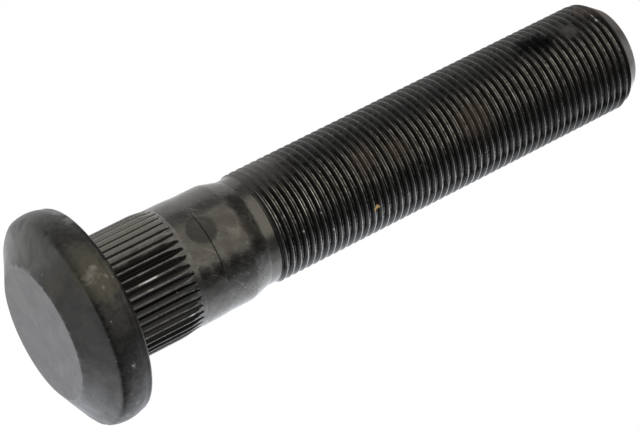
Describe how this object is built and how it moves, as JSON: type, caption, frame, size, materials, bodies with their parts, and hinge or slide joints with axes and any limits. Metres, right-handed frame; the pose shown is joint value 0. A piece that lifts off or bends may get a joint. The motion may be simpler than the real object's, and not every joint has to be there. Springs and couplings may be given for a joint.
{
  "type": "wheel stud",
  "caption": "Press-in wheel stud with a round button head, a serrated shank, a smooth shoulder and neck, and a long fine right-hand thread with a chamfered tip.",
  "frame": {"origin": "middle of the flat face of the head, on the surface that the stud stands on", "axes": "+Z along the stud's axis, from the head to the threaded tip"},
  "size_m": [0.0406, 0.0406, 0.1269],
  "materials": {
    "black_steel": "blackened and oiled forged steel, satin"
  },
  "bodies": {
    "root": {"wheel_stud": "black_steel"}
  },
  "joints": []
}
